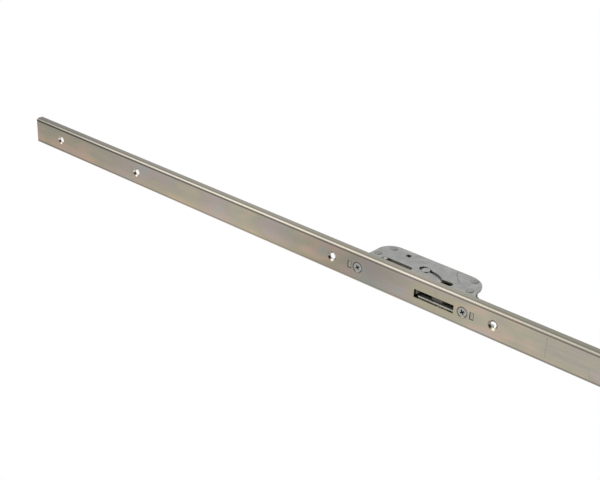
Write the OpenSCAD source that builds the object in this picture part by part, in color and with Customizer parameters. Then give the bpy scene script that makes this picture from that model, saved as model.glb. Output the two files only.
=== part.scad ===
// Multipoint door lock: a long channel rail with two swing-hook units, a main case
// with latch and deadbolt, and flat rods that join them. Millimetres. The rail
// stands upright: X across the rail, Y into the door, Z up. The origin is the
// centre of the handle spindle's square socket.

/* [Rail] */
// Width of the channel rail across the door edge
rail_w = 25; // [24:0.5:27]
// Depth of the channel, from its face to the edges of its flanges
rail_d = 6.7; // [6.2:0.1:7.5]
// Thickness of the rail's sheet
sheet_t = 2; // [1.8:0.1:2.2]
// Outside radius of the rail's two long bends
bend_r = 2.2; // [2.1:0.1:2.8]
// Length of rail above the spindle
rail_up = 1120; // [1090:5:1180]
// Length of rail below the spindle
rail_down = 1050; // [1020:5:1100]
// Distance from the rail's face to the spindle and cylinder
backset = 35; // [35:1:45]

/* [Rail holes] */
// Radius of the countersunk fixing holes
fix_r = 2.6; // [2.2:0.1:2.8]
// Radius of their countersinks at the face
fix_head_r = 4.2; // [3.9:0.1:4.8]
// Depth of their countersinks
fix_sink = 1.2; // [0.8:0.1:1.4]
// Distance of the outermost fixing holes from the rail's ends
end_fix = 37; // [25:1:50]
// Distance of the second fixing holes from the rail's ends
second_fix = 146.3; // [120:1:160]
// Fixing hole above each hook pivot
unit_fix_up = 79.2; // [76:0.5:84]
// Fixing hole below each hook pivot
unit_fix_down = 71.2; // [70:0.2:73]
// Heights of the fixing holes between the cases
mid_fix_upper = 350; // [300:5:400]
mid_fix_lower = -420; // [-460:5:-380]
// Fixing holes above and below the main case
case_fix_up = 115; // [112:1:130]
case_fix_down = 182; // [180:1:195]

/* [Travel] */
// How far the rods slide down to throw the hooks and the deadbolt
travel = 20; // [18:0.5:21]
// Angle that each hook swings out
swing = 80; // [74:1:82]
// How far the latch bolt stands out of the face
latch_throw = 12; // [10:0.5:12]
// Angle that the handle turns
handle_turn = 35; // [30:1:40]

/* [Hook units] */
// Height of the upper hook's pivot above the spindle
upper_pivot = 662; // [640:1:680]
// Depth of the lower hook's pivot below the spindle
lower_pivot = 738; // [700:1:760]
// Thickness of a hook
hook_t = 5; // [4.6:0.1:5.1]
// Distance of the hook's middle from the rail's middle
hook_x = -0.2; // [-0.2:0.1:0.1]
// Thickness of the case's tongue beside the hook
tongue_t = 1.4; // [1:0.1:1.4]
// Radius of the hook's eye
eye_r = 5.2; // [4.8:0.1:5.4]
// Radius of the hook's pivot
pivot_r = 3; // [2.5:0.1:3.2]
// Radius at which the guide pin swings round the pivot
guide_r = 15.8; // [15.5:0.1:16.2]
// Angle of the guide pin behind the pivot with the hook thrown
guide_end = 26; // [24:1:28]
// Radius of the guide pin
pin_r = 3.2; // [2.8:0.1:3.4]
// How far the hook stands out of the face
hook_reach = 21.8; // [20:0.2:22.4]
// Thickness of a hook unit's case
unit_t = 15; // [15:0.5:16]
// Thickness of its sheet
unit_wall = 1.5; // [1.2:0.1:1.5]
// Depth of its case behind the face
unit_depth = 40.5; // [39.5:0.1:44]
// Height of its case above the pivot
unit_up = 53.5; // [53:0.1:54.5]
// Height of its case below the pivot
unit_down = 43.1; // [43:0.1:45]
// Lengths of the upper and the lower foot past the case
foot = 11; // [10.2:0.1:11.4]
foot_low = 13.5; // [12.8:0.1:14]
// Case screws above and below the pivot
unit_screw_up = 53.1; // [52.5:0.1:53.6]
unit_screw_down = 44.9; // [44.4:0.1:45.4]
// Locating lugs above and below the pivot
lug_up = 61; // [60.5:0.1:61.5]
lug_down = 53.2; // [53:0.1:54]
// Thickness of a slider plate
slider_t = 1.5; // [1.3:0.1:1.5]
// Drive pin's radius
drive_pin_r = 2.4; // [2:0.1:2.6]
// Drive pin's height above the pivot
drive_pin_up = 38.8; // [37.5:0.1:39]
// Drive pin's depth behind the face
drive_pin_depth = 16.2; // [15.5:0.1:17]

/* [Rods] */
// Width of the flat rods
rod_w = 17; // [16.6:0.1:17.4]
// Thickness of the rods
rod_t = 2.5; // [2:0.1:2.5]
// Width of the slots that pass the fixing screws
rod_slot_w = 8.8; // [8.4:0.1:9]

/* [Main case] */
// Thickness of the main case
main_t = 16; // [16:0.5:18]
// Thickness of its sheet
main_wall = 1.2; // [1:0.1:1.2]
// Depth of the case behind the spindle
main_back = 16; // [16:0.5:20]
// Height of the case above the spindle
main_up = 66; // [66:0.5:67]
// Depth of the case below the spindle
main_down = 133; // [133:0.5:136]
// Distance from the spindle down to the cylinder
cylinder_drop = 92; // [92:0.5:94]
// Side of the spindle's square socket
spindle = 8; // [7:0.5:9]
// Radius of the follower's bearings
journal_r = 8.4; // [8:0.1:9]
// Radius of the follower's flange
flange_r = 12; // [11:0.2:12.4]
// Thickness of the latch and the deadbolt
bolt_t = 9; // [8:0.2:9]
// Height of the latch's middle
latch_z = 28; // [28:0.5:29]
// Height of the latch bolt
latch_h = 30; // [28:0.5:30]
// Depth of the deadbolt's middle below the spindle
dead_drop = 44; // [44:0.2:45]
// Height of the deadbolt
dead_h = 26; // [24:0.5:26]
// Radius of the deadbolt's drive pin
dead_pin_r = 3; // [2.5:0.1:3]
// Thickness of the drive plate
plate_t = 1.5; // [1.2:0.1:1.5]
// Teeth of the drive gear
gear_teeth = 12; // [12:1:12]
// Tooth size of the gear and its rack
gear_module = 1.5; // [1.5:0.05:1.55]
// Depth of the gear's centre below the spindle
gear_drop = 73; // [73:0.2:74]
// Distance of the gear's centre in front of the spindle
gear_fore = 13.5; // [13:0.1:14]

/* [Hidden] */
$fn = 64;

// Clearances: a bolt in its opening, a pin in its bore, a fixed pin, a sliding face
fit_gap = 0.3;
run_gap = 0.05;
press_gap = 0.02;
slide_gap = 0.2;
past = 1;

inner_r = max(bend_r - sheet_t, 0.2);
face_y = -backset;
back_y = face_y + sheet_t;
rod_y = back_y + slide_gap;
rod_back = rod_y + rod_t;

// The hook's pivot sits just clear of the sheet's back
pivot_gap = 0.4;
pivot_depth = sheet_t + eye_r + pivot_gap;
unit_half = unit_t / 2;
unit_in = unit_half - unit_wall;
slider_in = unit_in - 0.1 - slider_t;
hook_in = hook_x - hook_t / 2;
hook_out = hook_x + hook_t / 2;
tongue_gap = 0.2;
tongue_out = hook_in - tongue_gap;
tongue_in = tongue_out - tongue_t;
tongue_back = 6.5;
tongue_top = 4.5;
window_top = 1.5;
window_h = 35.8;
arm_top = 4.5;
beak_sink = 3.2;
guide_start = guide_end + swing;
unit_rivets = [[20.1, 48.4], [35, 44.1], [35.1, -32.1], [19.9, -37.7]];
guide_neck_r = 1.5;
pin_head_r = 3;
pin_head_x = unit_half + 0.05;
pocket_from = [2.5, -0.6];
pocket_to = [2.9, -6.8];
pocket_r = 2.8;
rivet_r = 1.6;
rivet_head_r = 2.9;
rivet_head_t = 0.4;
post_r = 3.4;
star_at = [33.1, 28.3];
star_r = 3;
boss_half = slider_in - 0.5;
foot_mouth = 14;
foot_depth = 13.5;
block_back = foot_mouth - 1;
unit_corner_up = 13;
unit_corner_down = 17;
lug_half = 1.3;
lug_w = 5.2;
lug_sink = 0.3;

// The sliders' necks run beside the screw bosses, just behind the rods
neck_front = sheet_t + slide_gap + rod_t + slide_gap;
neck_back = neck_front + 3.4;
neck_reach = 68.5;
neck_reach_up = 106;
tab_l = 7;
tab_gap = 0.1;
slider_top = 43.5;
slider_bottom = -13;
slider_back = 31.5;
slider_front = pivot_depth + pivot_r + 0.7;

// The rods' ends
upper_rod_top = upper_pivot - neck_reach + 11.5;
upper_rod_bottom = main_up + travel + 2;
lower_rod_top = -main_down - 9;
lower_rod_bottom = -lower_pivot + neck_reach_up - 20;

screw_head_r = 4.2;
screw_r = 2;
screw_l = 10;
screw_head_t = sheet_t - 0.1;
main_screws = [main_up - 8, -main_down + 8];

fix_heights = [
    rail_up - end_fix, rail_up - second_fix,
    upper_pivot + unit_fix_up, upper_pivot - unit_fix_down,
    mid_fix_upper, case_fix_up, -case_fix_down, mid_fix_lower,
    -lower_pivot + unit_fix_up, -lower_pivot - unit_fix_down,
    second_fix - rail_down, end_fix - rail_down];
keeper_heights = [470, 230, -300, -540];
keeper_h = 12;
keeper_t = 1.4;

// Layers of the main case, from its floor to its cover
main_half = main_t / 2;
main_in = main_half - main_wall;
plate_out = main_in - 0.15;
plate_in = plate_out - plate_t;
post_top = plate_in - 0.5;
cylinder_r = 8.6;
cylinder_slot = 10.2;
cylinder_low = 24.5;
main_rivets = [[11, main_up - 7], [-14, main_up - 6], [12, 16 - cylinder_drop],
    [11, 7 - main_down], [-14, 6 - main_down]];
corner_r = 10;

arm_r = latch_throw / (2 * sin(handle_turn / 2));
arm_tip_r = 2.5;
arm_half = 3;
bolt_half = bolt_t / 2;
latch_len = latch_throw + sheet_t + 3;
latch_back = face_y - latch_throw + latch_len;
tail_half = 3;
tail_low = arm_r + arm_tip_r + 0.5;
tail_high = tail_low + 8;
tip_y = -arm_r * sin(handle_turn / 2);
lug_low = arm_r * cos(handle_turn / 2) - 1.6;
lug_front = tip_y + arm_tip_r + 0.1;
tail_back = lug_front + 5;
spring_z = tail_high + 6.5;
spring_r = 3.9;
wire_r = 0.5;
spring_turns = 8;
spring_start = latch_back + 0.1;
spring_end = 2;
spring_stop_t = 3;

dead_z = -dead_drop;
dead_len = travel + sheet_t + 3;
dead_back = face_y + 0.1 + dead_len;
dead_tail_h = 12;
dead_tail_back = 13.4;
dead_pin_y = 10;
dead_slot_r = dead_pin_r + 0.15;

gear_r = gear_teeth * gear_module / 2;
gear_at = [-gear_fore, -gear_drop];
pressure = 25;
backlash = 0.3;
gear_bore_r = 3;
rack_y = -gear_fore - gear_r;
rack_pitch = PI * gear_module;
plate_front = rod_back + slide_gap;
strip_back = rack_y - 1.25 * gear_module;

function unit_vector(v) = v / norm(v);

// One rounded corner at b, between its neighbours a and c
function corner(a, b, c, r, steps) = r == 0 ? [b] : let(
    u = unit_vector(a - b),
    w = unit_vector(c - b),
    half = acos(u * w) / 2,
    middle = b + unit_vector(u + w) * r / sin(half),
    from = b + u * r / tan(half) - middle,
    to = b + w * r / tan(half) - middle,
    start = atan2(from.y, from.x),
    turn = (atan2(to.y, to.x) - start + 540) % 360 - 180
) [for (i = [0:steps]) middle + r * [cos(start + turn * i / steps), sin(start + turn * i / steps)]];

// A closed outline from points that each hold depth, height and corner radius
function outline(points, steps = 8) = let(n = len(points), flat = [for (p = points) [p.x, p.y]])
    [for (i = [0:n - 1]) each corner(flat[(i + n - 1) % n], flat[i], flat[(i + 1) % n], points[i].z, steps)];

// Children drawn as depth and height become a plate from x0 to x1
module plate(x0, x1) {
    translate([x0, 0, 0]) rotate([90, 0, 90]) linear_extrude(x1 - x0) children();
}

// A round bar or bore along X at a depth and height
module round_x(at, r, x0, x1) {
    translate([x0, at.x, at.y]) rotate([0, 90, 0]) cylinder(r = r, h = x1 - x0);
}

// A slot with round ends
module slot(a, b, r) {
    side = r * unit_vector([a.y - b.y, b.x - a.x]);
    translate(a) circle(r);
    translate(b) circle(r);
    polygon([a + side, b + side, b - side, a - side]);
}

// Parts of a hook unit are drawn from the face, at the height of its pivot
module at_unit(height) {
    translate([0, face_y, height]) children();
}

// A countersunk hole through the sheet
module sunk_hole(height, r, head_r, sink) {
    translate([0, face_y, height]) rotate([-90, 0, 0]) {
        translate([0, 0, -past]) cylinder(r = r, h = sheet_t + 2 * past);
        cylinder(r1 = head_r, r2 = r, h = sink);
        translate([0, 0, -past]) cylinder(r = head_r, h = past + 0.001);
    }
}

module face_window(height_low, height_high, from, to) {
    translate([from, face_y - past, height_low])
        cube([to - from, sheet_t + 2 * past, height_high - height_low]);
}

module lug_slots(pivot) {
    half = lug_w / 2 + 0.4;
    for (height = [pivot + lug_up, pivot - lug_down])
        face_window(height - lug_half - 0.5, height + lug_half + 0.5, -half, half);
}

module faceplate() {
    half = rail_w / 2;
    rim = [[-half, 0, bend_r], [half, 0, bend_r], [half, rail_d, 0], [half - sheet_t, rail_d, 0],
        [half - sheet_t, sheet_t, inner_r], [sheet_t - half, sheet_t, inner_r],
        [sheet_t - half, rail_d, 0], [-half, rail_d, 0]];
    color("tan") difference() {
        translate([0, face_y, -rail_down]) linear_extrude(rail_up + rail_down) polygon(outline(rim, 6));
        for (height = fix_heights) sunk_hole(height, fix_r, fix_head_r, fix_sink);
        for (pivot = [upper_pivot, -lower_pivot]) {
            face_window(pivot - window_top - window_h, pivot - window_top, tongue_in, hook_out + fit_gap);
            lug_slots(pivot);
            for (height = [pivot + unit_screw_up, pivot - unit_screw_down])
                sunk_hole(height, screw_r + 0.3, screw_head_r + press_gap, screw_head_t);
        }
        for (height = main_screws) sunk_hole(height, screw_r + 0.3, screw_head_r + press_gap, screw_head_t);
        for (bolt = [[latch_z, latch_h], [dead_z, dead_h]])
            face_window(bolt.x - bolt.y / 2 - fit_gap, bolt.x + bolt.y / 2 + fit_gap,
                -bolt_t / 2 - fit_gap, bolt_t / 2 + fit_gap);
        sunk_hole(-cylinder_drop, 2.75, 4.6, fix_sink);
    }
}

// A countersunk screw with a cross recess, pointing into the door
module case_screw(height) {
    translate([0, face_y, height]) rotate([-90, 0, 0]) difference() {
        union() {
            cylinder(r1 = screw_head_r, r2 = screw_r + 0.25, h = screw_head_t);
            cylinder(r = screw_r, h = screw_l);
        }
        for (turn = [45, 135]) rotate(turn) translate([-2.3, -0.45, -past]) cube([4.6, 0.9, past + 1.3]);
    }
}

module case_screws() {
    color("silver") {
        for (pivot = [upper_pivot, -lower_pivot])
            for (height = [pivot + unit_screw_up, pivot - unit_screw_down]) case_screw(height);
        for (height = main_screws) case_screw(height);
    }
}

// Small bridges across the channel that hold the rods against the sheet
module rod_keepers() {
    reach = rail_w / 2 - sheet_t - press_gap;
    color("dimgray") for (height = keeper_heights)
        translate([0, 0, height]) {
            translate([-reach, rod_back + slide_gap, 0]) cube([2 * reach, keeper_t, keeper_h]);
            for (side = [-1, 1]) translate([side * (reach - 0.75) - 0.75, back_y + inner_r, 0])
                cube([1.5, rod_back + slide_gap + keeper_t - back_y - inner_r, keeper_h]);
        }
}

// A flat rod with slots for the fixing screws and for the tabs of what it drives
module rod(low, high, tab_x, tab_low, unit_tab_low) {
    difference() {
        translate([-rod_w / 2, rod_y, low]) cube([rod_w, rod_t, high - low]);
        for (height = fix_heights)
            translate([0, rod_y - past, 0]) rotate([90, 0, 0]) mirror([0, 0, 1]) linear_extrude(rod_t + 2 * past)
                slot([0, height], [0, height + travel], rod_slot_w / 2);
        translate([tab_x - tab_gap, rod_y - past, tab_low - tab_gap])
            cube([plate_t + 2 * tab_gap, rod_t + 2 * past, 6 + 2 * tab_gap]);
        for (side = [0, 1]) mirror([side, 0, 0])
            translate([slider_in - tab_gap, rod_y - past, unit_tab_low - tab_gap])
                cube([slider_t + 2 * tab_gap, rod_t + 2 * past, tab_l + 2 * tab_gap]);
    }
}

plate_tab_up = upper_rod_bottom + 4;
plate_tab_down = lower_rod_top - 10;
upper_tab = upper_pivot - neck_reach + 1.5;
lower_tab = -lower_pivot + neck_reach_up - tab_l - 8;

module upper_rod() {
    color("gainsboro") rod(upper_rod_bottom, upper_rod_top, plate_in, plate_tab_up, upper_tab);
}

module lower_rod() {
    color("gainsboro") rod(lower_rod_bottom, lower_rod_top, plate_in, plate_tab_down, lower_tab);
}

// The case outline of a hook unit, as depth behind the face and height above the pivot
function unit_outline() = outline([
    [sheet_t, unit_up + foot, 0], [8, unit_up + foot, 2], [foot_mouth, unit_up, 3],
    [unit_depth, unit_up, unit_corner_up], [unit_depth, -unit_down, unit_corner_down],
    [foot_depth, -unit_down, 8], [foot_depth, -unit_down - foot_low, 2], [sheet_t, -unit_down - foot_low, 0]]);

module drive_slot() {
    slot([drive_pin_depth, drive_pin_up + 0.4], [drive_pin_depth, drive_pin_up - travel - 3], drive_pin_r + 0.25);
}

module unit_tray(pivot) {
    wall = unit_wall;
    rim_low = foot_mouth - 3;
    rim_end = unit_corner_down - unit_down;
    color("darkgray") at_unit(pivot) difference() {
        union() {
            plate(-unit_half, -unit_in) polygon(unit_outline());
            plate(-unit_in, unit_in) difference() {
                polygon(outline([[rim_low, unit_up, 0], [unit_depth, unit_up, unit_corner_up],
                    [unit_depth, rim_end, 0], [rim_low, rim_end, 0]]));
                polygon(outline([[rim_low - past, unit_up - wall, 0],
                    [unit_depth - wall, unit_up - wall, unit_corner_up - wall],
                    [unit_depth - wall, rim_end - past, 0], [rim_low - past, rim_end - past, 0]]));
            }
            for (at = unit_rivets) round_x(at, post_r, -unit_in, unit_in);
            screw_block(unit_up - 6.5, unit_up + foot);
            screw_block(-unit_down - foot_low, 1 - unit_down);
            for (height = [lug_up, -lug_down]) translate([-lug_w / 2, lug_sink, height - lug_half])
                cube([lug_w, sheet_t + 0.02 - lug_sink, 2 * lug_half]);
            translate([tongue_in, sheet_t + 0.02, -unit_down])
                cube([tongue_t, tongue_back - sheet_t, unit_down - tongue_top]);
        }
        for (at = unit_rivets) round_x(at, rivet_r + press_gap, -unit_t, unit_t);
        round_x([pivot_depth, 0], pivot_r + press_gap, -unit_t, unit_t);
        plate(-unit_t, -unit_in + 0.001) drive_slot();
        for (height = [unit_screw_up, -unit_screw_down])
            translate([0, 0, height]) rotate([-90, 0, 0]) cylinder(r = screw_r + press_gap, h = screw_l + 1);
    }
}

// A block that takes a case screw: narrow between the sliders' necks, wide behind them
module screw_block(low, high) {
    translate([-boss_half, sheet_t, low]) cube([2 * boss_half, block_back - sheet_t, high - low]);
    translate([-unit_in, neck_back + 0.5, low]) cube([unit_in + boss_half, block_back - neck_back - 0.5, high - low]);
}

module unit_cover(pivot) {
    color("darkgray") at_unit(pivot) difference() {
        plate(unit_in, unit_half) difference() {
            polygon(unit_outline());
            drive_slot();
            guide_slot();
            translate(star_at) polygon([for (i = [0:7]) (i % 2 == 0 ? 0.6 * star_r : star_r)
                * [cos(45 * i), sin(45 * i)]]);
        }
        for (at = unit_rivets) round_x(at, rivet_r + press_gap, 0, unit_t);
        round_x([pivot_depth, 0], pivot_r + press_gap, 0, unit_t);
    }
}

// The curved slot for the guide pin's neck: wide where the pin rests, with a pocket at its end
module guide_slot() {
    wide = guide_neck_r + 0.2;
    steps = 24;
    angles = [for (i = [0:steps]) guide_end + swing * i / steps];
    polygon(concat([for (i = [0:steps]) guide_point(angles[i], guide_r + wide)],
        [for (i = [steps:-1:0]) guide_point(angles[i], guide_r - wide)]));
    translate(guide_point(guide_end, guide_r)) {
        circle(wide);
        slot(pocket_from, pocket_to, pocket_r);
    }
    translate(guide_point(guide_start, guide_r)) slot([0.2, -1.4], [1.3, 3], pin_head_r + 0.6);
}

// A point at an angle behind the straight-down line through the pivot
function guide_point(angle, r) = [pivot_depth + r * sin(angle), -r * cos(angle)];

module unit_rivets_group(pivot) {
    color("gray") at_unit(pivot) for (at = unit_rivets) {
        round_x(at, rivet_r, -unit_half, unit_half + 0.01);
        round_x(at, rivet_head_r, unit_half, unit_half + rivet_head_t);
        round_x(at, rivet_head_r, -unit_half - rivet_head_t, -unit_half);
    }
}

module hook_pivot(pivot) {
    color("silver") at_unit(pivot) round_x([pivot_depth, 0], pivot_r, -unit_half, unit_half);
}

// A point of the hook as it stands when thrown, from its place when it lies in the case
function thrown(p, r) = [p.x * cos(swing) + p.y * sin(swing), p.y * cos(swing) - p.x * sin(swing), r];

// The hook as it stands when thrown, as depth and height from its pivot. Its beak lies
// parallel to the rail when it is in, a little behind the face.
function hook_outline() = let(
    tip = pivot_depth + hook_reach,
    beak = pivot_depth + 6.9,
    beak_in = beak_sink - pivot_depth,
    heel = [guide_r * sin(guide_end), -guide_r * cos(guide_end)]
) outline([
    [-2, -arm_top, 0], [-beak, -arm_top, 1], thrown([beak_in, -15.5], 0.8), thrown([beak_in, -24.5], 2),
    [-tip, -5, 3], [1.4 - tip, -11.5, 4], [6.4 - tip, -14, 3],
    [-6, -14, 6], [heel.x - 4.4, heel.y - 4.08, 0], [heel.x, heel.y, 0], [heel.x + 4.9, heel.y + 3.46, 0],
    [0.85 * eye_r, 0.5 * eye_r, 0], [0, 0, 0]], 5);

module hook(pivot) {
    color("lightsteelblue") at_unit(pivot) translate([0, pivot_depth, 0]) rotate([swing, 0, 0]) difference() {
        plate(hook_in, hook_out) difference() {
            union() {
                polygon(hook_outline());
                circle(eye_r);
                translate([guide_r * sin(guide_end), -guide_r * cos(guide_end)]) circle(6);
            }
            circle(pivot_r + run_gap);
        }
        round_x([guide_r * sin(guide_end), -guide_r * cos(guide_end)], pin_r + press_gap, -hook_t, hook_t);
    }
}

module guide_pin(pivot) {
    at = guide_point(guide_start, guide_r);
    color("white") at_unit(pivot) {
        round_x(at, pin_r, -slider_in - slider_t, slider_in + slider_t);
        round_x(at, guide_neck_r, 0, pin_head_x + 0.01);
        round_x(at, pin_head_r, pin_head_x, pin_head_x + 0.4);
    }
}

// Centre line of the slider's slot: the guide pin's path, seen from the moving slider
function cam_point(part) = let(at = guide_point(guide_start - swing * part, guide_r))
    [at.x, at.y + travel * part];

// The path turns sharply at its deepest point, so its start is a few overlapping circles
module cam_slot() {
    half = pin_r + 0.2;
    steps = 32;
    bend = round(steps * (guide_start - 90) / swing);
    line = [for (i = [0:steps]) cam_point(i / steps)];
    side = [for (i = [0:steps]) let(
        run = unit_vector(cam_point(min(i + 1, steps) / steps) - cam_point(max(i - 1, 0) / steps))
    ) half * [-run.y, run.x]];
    polygon(concat([for (i = [bend:steps]) line[i] + side[i]], [for (i = [steps:-1:bend]) line[i] - side[i]]));
    for (i = [0, round(bend / 2), bend, steps]) translate(line[i]) circle(half);
}

// One slider plate, with its neck down to the rod below or up to the rod above
module slider_shape(upward) {
    body = [[21, slider_top, 2], [21, 20, 0], [slider_back, 12, 3], [slider_back, -7, 3],
        [24, slider_bottom, 2]];
    below = [[neck_back, slider_bottom, 0], [neck_back, -neck_reach, 1], [neck_front, -neck_reach, 0],
        [neck_front, -pivot_r - 1.2, 0], [slider_front, -pivot_r - 1.2, 0], [slider_front, slider_top, 2]];
    above = [[slider_front, slider_bottom, 1], [slider_front, travel + 7, 0], [neck_front, travel + 7, 0],
        [neck_front, neck_reach_up, 0], [neck_back, neck_reach_up, 1], [neck_back, slider_top, 0]];
    polygon(outline(concat(body, upward ? above : below), 4));
}

module slider(pivot, upward, tab_at) {
    color("gainsboro") at_unit(pivot) for (side = [0, 1]) mirror([side, 0, 0]) difference() {
        plate(slider_in, slider_in + slider_t) difference() {
            union() {
                slider_shape(upward);
                translate([rod_y - face_y, tab_at - pivot]) square([rod_t + 2 * slide_gap, tab_l]);
            }
            cam_slot();
        }
        round_x([drive_pin_depth, drive_pin_up], drive_pin_r + press_gap, 0, unit_half);
    }
}

module slider_pin(pivot) {
    color("white") at_unit(pivot)
        round_x([drive_pin_depth, drive_pin_up], drive_pin_r, -unit_half, unit_half + 0.2);
}

module upper_case_tray() { unit_tray(upper_pivot); }
module upper_case_cover() { unit_cover(upper_pivot); }
module upper_case_rivets() { unit_rivets_group(upper_pivot); }
module upper_hook_pivot() { hook_pivot(upper_pivot); }
module upper_hook() { hook(upper_pivot); }
module upper_guide_pin() { guide_pin(upper_pivot); }
module upper_slider() { slider(upper_pivot, false, upper_tab); }
module upper_slider_pin() { slider_pin(upper_pivot); }
module lower_case_tray() { unit_tray(-lower_pivot); }
module lower_case_cover() { unit_cover(-lower_pivot); }
module lower_case_rivets() { unit_rivets_group(-lower_pivot); }
module lower_hook_pivot() { hook_pivot(-lower_pivot); }
module lower_hook() { hook(-lower_pivot); }
module lower_guide_pin() { guide_pin(-lower_pivot); }
module lower_slider() { slider(-lower_pivot, true, lower_tab); }
module lower_slider_pin() { slider_pin(-lower_pivot); }

// Main case, drawn from the spindle
function main_outline(inset = 0, front = back_y) = outline([
    [front, main_up - inset, 0], [main_back - inset, main_up - inset, corner_r - inset],
    [main_back - inset, inset - main_down, corner_r - inset], [front, inset - main_down, 0]]);

// Opening for a profile cylinder, and bearing hole for the follower
module case_openings() {
    translate([0, -cylinder_drop]) {
        circle(cylinder_r);
        translate([-cylinder_slot / 2, cylinder_slot / 2 - cylinder_low])
            square([cylinder_slot, cylinder_low - cylinder_slot / 2]);
        translate([0, cylinder_slot / 2 - cylinder_low]) circle(cylinder_slot / 2);
    }
    circle(journal_r + run_gap);
    translate(gear_at) circle(gear_bore_r + press_gap);
}

module main_case_tray() {
    mouth = plate_front + 8;
    ribs = [
        [back_y + 0.2, latch_z + latch_h / 2 + fit_gap, 13, 1.5],
        [back_y + 0.2, latch_z - latch_h / 2 - fit_gap - 1.5, 13, 1.5],
        [back_y + 0.2, dead_z + dead_h / 2 + fit_gap, 20, 1.5],
        [back_y + 0.2, dead_z - dead_h / 2 - fit_gap - 1.5, 20, 1.5],
        [dead_back + 1, dead_z + dead_tail_h / 2 + fit_gap, main_back - main_wall - dead_back - 1, 1.5],
        [dead_back + 1, dead_z - dead_tail_h / 2 - fit_gap - 1.5, main_back - main_wall - dead_back - 1, 1.5],
        [spring_end, spring_z - 5, spring_stop_t, 10]];
    color("darkgray") difference() {
        union() {
            plate(-main_half, -main_in) difference() {
                polygon(main_outline());
                case_openings();
            }
            plate(-main_in, main_in) difference() {
                polygon(main_outline(0, mouth));
                polygon(main_outline(main_wall, mouth - past));
            }
            for (at = main_rivets) round_x(at, post_r - 0.2, -main_in, main_in);
            for (height = main_screws) translate([-main_in, back_y, height - 6])
                cube([main_in + post_top, 13, 12]);
            for (rib = ribs) translate([-main_in, rib[0], rib[1]]) cube([main_in + post_top, rib[2], rib[3]]);
        }
        for (at = main_rivets) round_x(at, rivet_r + press_gap, -main_t, main_t);
        for (height = main_screws) translate([0, face_y, height]) rotate([-90, 0, 0])
            cylinder(r = screw_r + press_gap, h = screw_l + 1);
    }
}

module main_case_cover() {
    color("darkgray") difference() {
        plate(main_in, main_half) difference() {
            polygon(main_outline());
            case_openings();
        }
        for (at = main_rivets) round_x(at, rivet_r + press_gap, 0, main_t);
    }
}

module main_case_rivets() {
    color("gray") for (at = main_rivets) {
        round_x(at, rivet_r, -main_half, main_half + 0.01);
        round_x(at, rivet_head_r, main_half, main_half + rivet_head_t);
        round_x(at, rivet_head_r, -main_half - rivet_head_t, -main_half);
    }
}

// The hub that the handle turns: its arm draws the latch back
module follower() {
    tip = arm_r * [-sin(handle_turn / 2), cos(handle_turn / 2)];
    color("goldenrod") difference() {
        union() {
            round_x([0, 0], journal_r, -main_half - 0.3, main_half + 0.3);
            round_x([0, 0], flange_r, -bolt_half, bolt_half);
            plate(-arm_half, arm_half) {
                translate(tip) circle(arm_tip_r);
                slot([0, 0], tip, arm_tip_r - 0.7);
            }
        }
        cube([main_t + 4, spindle, spindle], center = true);
    }
}

module latch_bolt() {
    front = face_y - latch_throw;
    color("silver") difference() {
        translate([0, 0, latch_z - latch_h / 2]) linear_extrude(latch_h) polygon([
            [-bolt_half, latch_back], [bolt_half, latch_back], [bolt_half, face_y - 1.5],
            [1.5 - bolt_half, front], [-bolt_half, front]]);
        translate([-tail_half - press_gap, latch_back - 4, tail_low - press_gap])
            cube([2 * (tail_half + press_gap), 4 + past, tail_high - tail_low + 2 * press_gap]);
    }
}

// The latch's tail: a bar over the follower's arm, with a lug behind the arm's tip
module latch_tail() {
    color("gainsboro") {
        translate([-tail_half, latch_back - 4, tail_low])
            cube([2 * tail_half, tail_back - latch_back + 4, tail_high - tail_low]);
        translate([-tail_half, lug_front, lug_low])
            cube([2 * tail_half, tail_back - lug_front, tail_low - lug_low + 0.1]);
    }
}

// Points of one ring of the spring's wire
function coil_ring(part) = let(
    length = spring_end - spring_start - 2 * wire_r - 0.1,
    angle = 360 * spring_turns * part,
    middle = [spring_r * cos(angle), spring_start + wire_r + 0.05 + length * part, spring_r * sin(angle)],
    along = unit_vector([-spring_r * sin(angle) * 2 * PI * spring_turns, length,
        spring_r * cos(angle) * 2 * PI * spring_turns]),
    outward = [cos(angle), 0, sin(angle)],
    side = cross(along, outward)
) [for (k = [0:5]) middle + wire_r * (outward * cos(60 * k) + side * sin(60 * k))];

module latch_spring() {
    rings = 8 * spring_turns;
    last = 6 * rings;
    skin = [for (i = [0:rings - 1], k = [0:5]) let(
        a = 6 * i + k, b = 6 * i + (k + 1) % 6) each [[a, b, b + 6], [a, b + 6, a + 6]]];
    ends = [for (k = [1:4]) each [[0, k + 1, k], [last, last + k, last + k + 1]]];
    color("lightgray") translate([0, 0, spring_z])
        polyhedron([for (i = [0:rings]) each coil_ring(i / rings)], concat(skin, ends));
}

module deadbolt() {
    color("silver") difference() {
        union() {
            translate([-bolt_half, face_y + 0.1, dead_z - dead_h / 2]) cube([bolt_t, dead_len, dead_h]);
            translate([-bolt_half, dead_back - 1, dead_z - dead_tail_h / 2])
                cube([bolt_t, dead_tail_back - dead_back + 1, dead_tail_h]);
        }
        round_x([dead_pin_y, dead_z], dead_pin_r + press_gap, -bolt_t, bolt_t);
    }
}

module deadbolt_pin() {
    color("white") round_x([dead_pin_y, dead_z], dead_pin_r, -bolt_half, plate_out);
}

// Straight-sided rack teeth on the strip's rear edge, from the top tooth down
function rack_points(low, high) = let(
    half = rack_pitch / 4 - backlash / 4,
    tip = half - gear_module * tan(pressure),
    root = half + (rack_y - strip_back) * tan(pressure)
) [for (i = [floor(high / rack_pitch):-1:ceil(low / rack_pitch)]) let(z = gear_at.y + i * rack_pitch) each [
    [strip_back, z + root, 0], [rack_y + gear_module, z + tip, 0],
    [rack_y + gear_module, z - tip, 0], [strip_back, z - root, 0]]];

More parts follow.
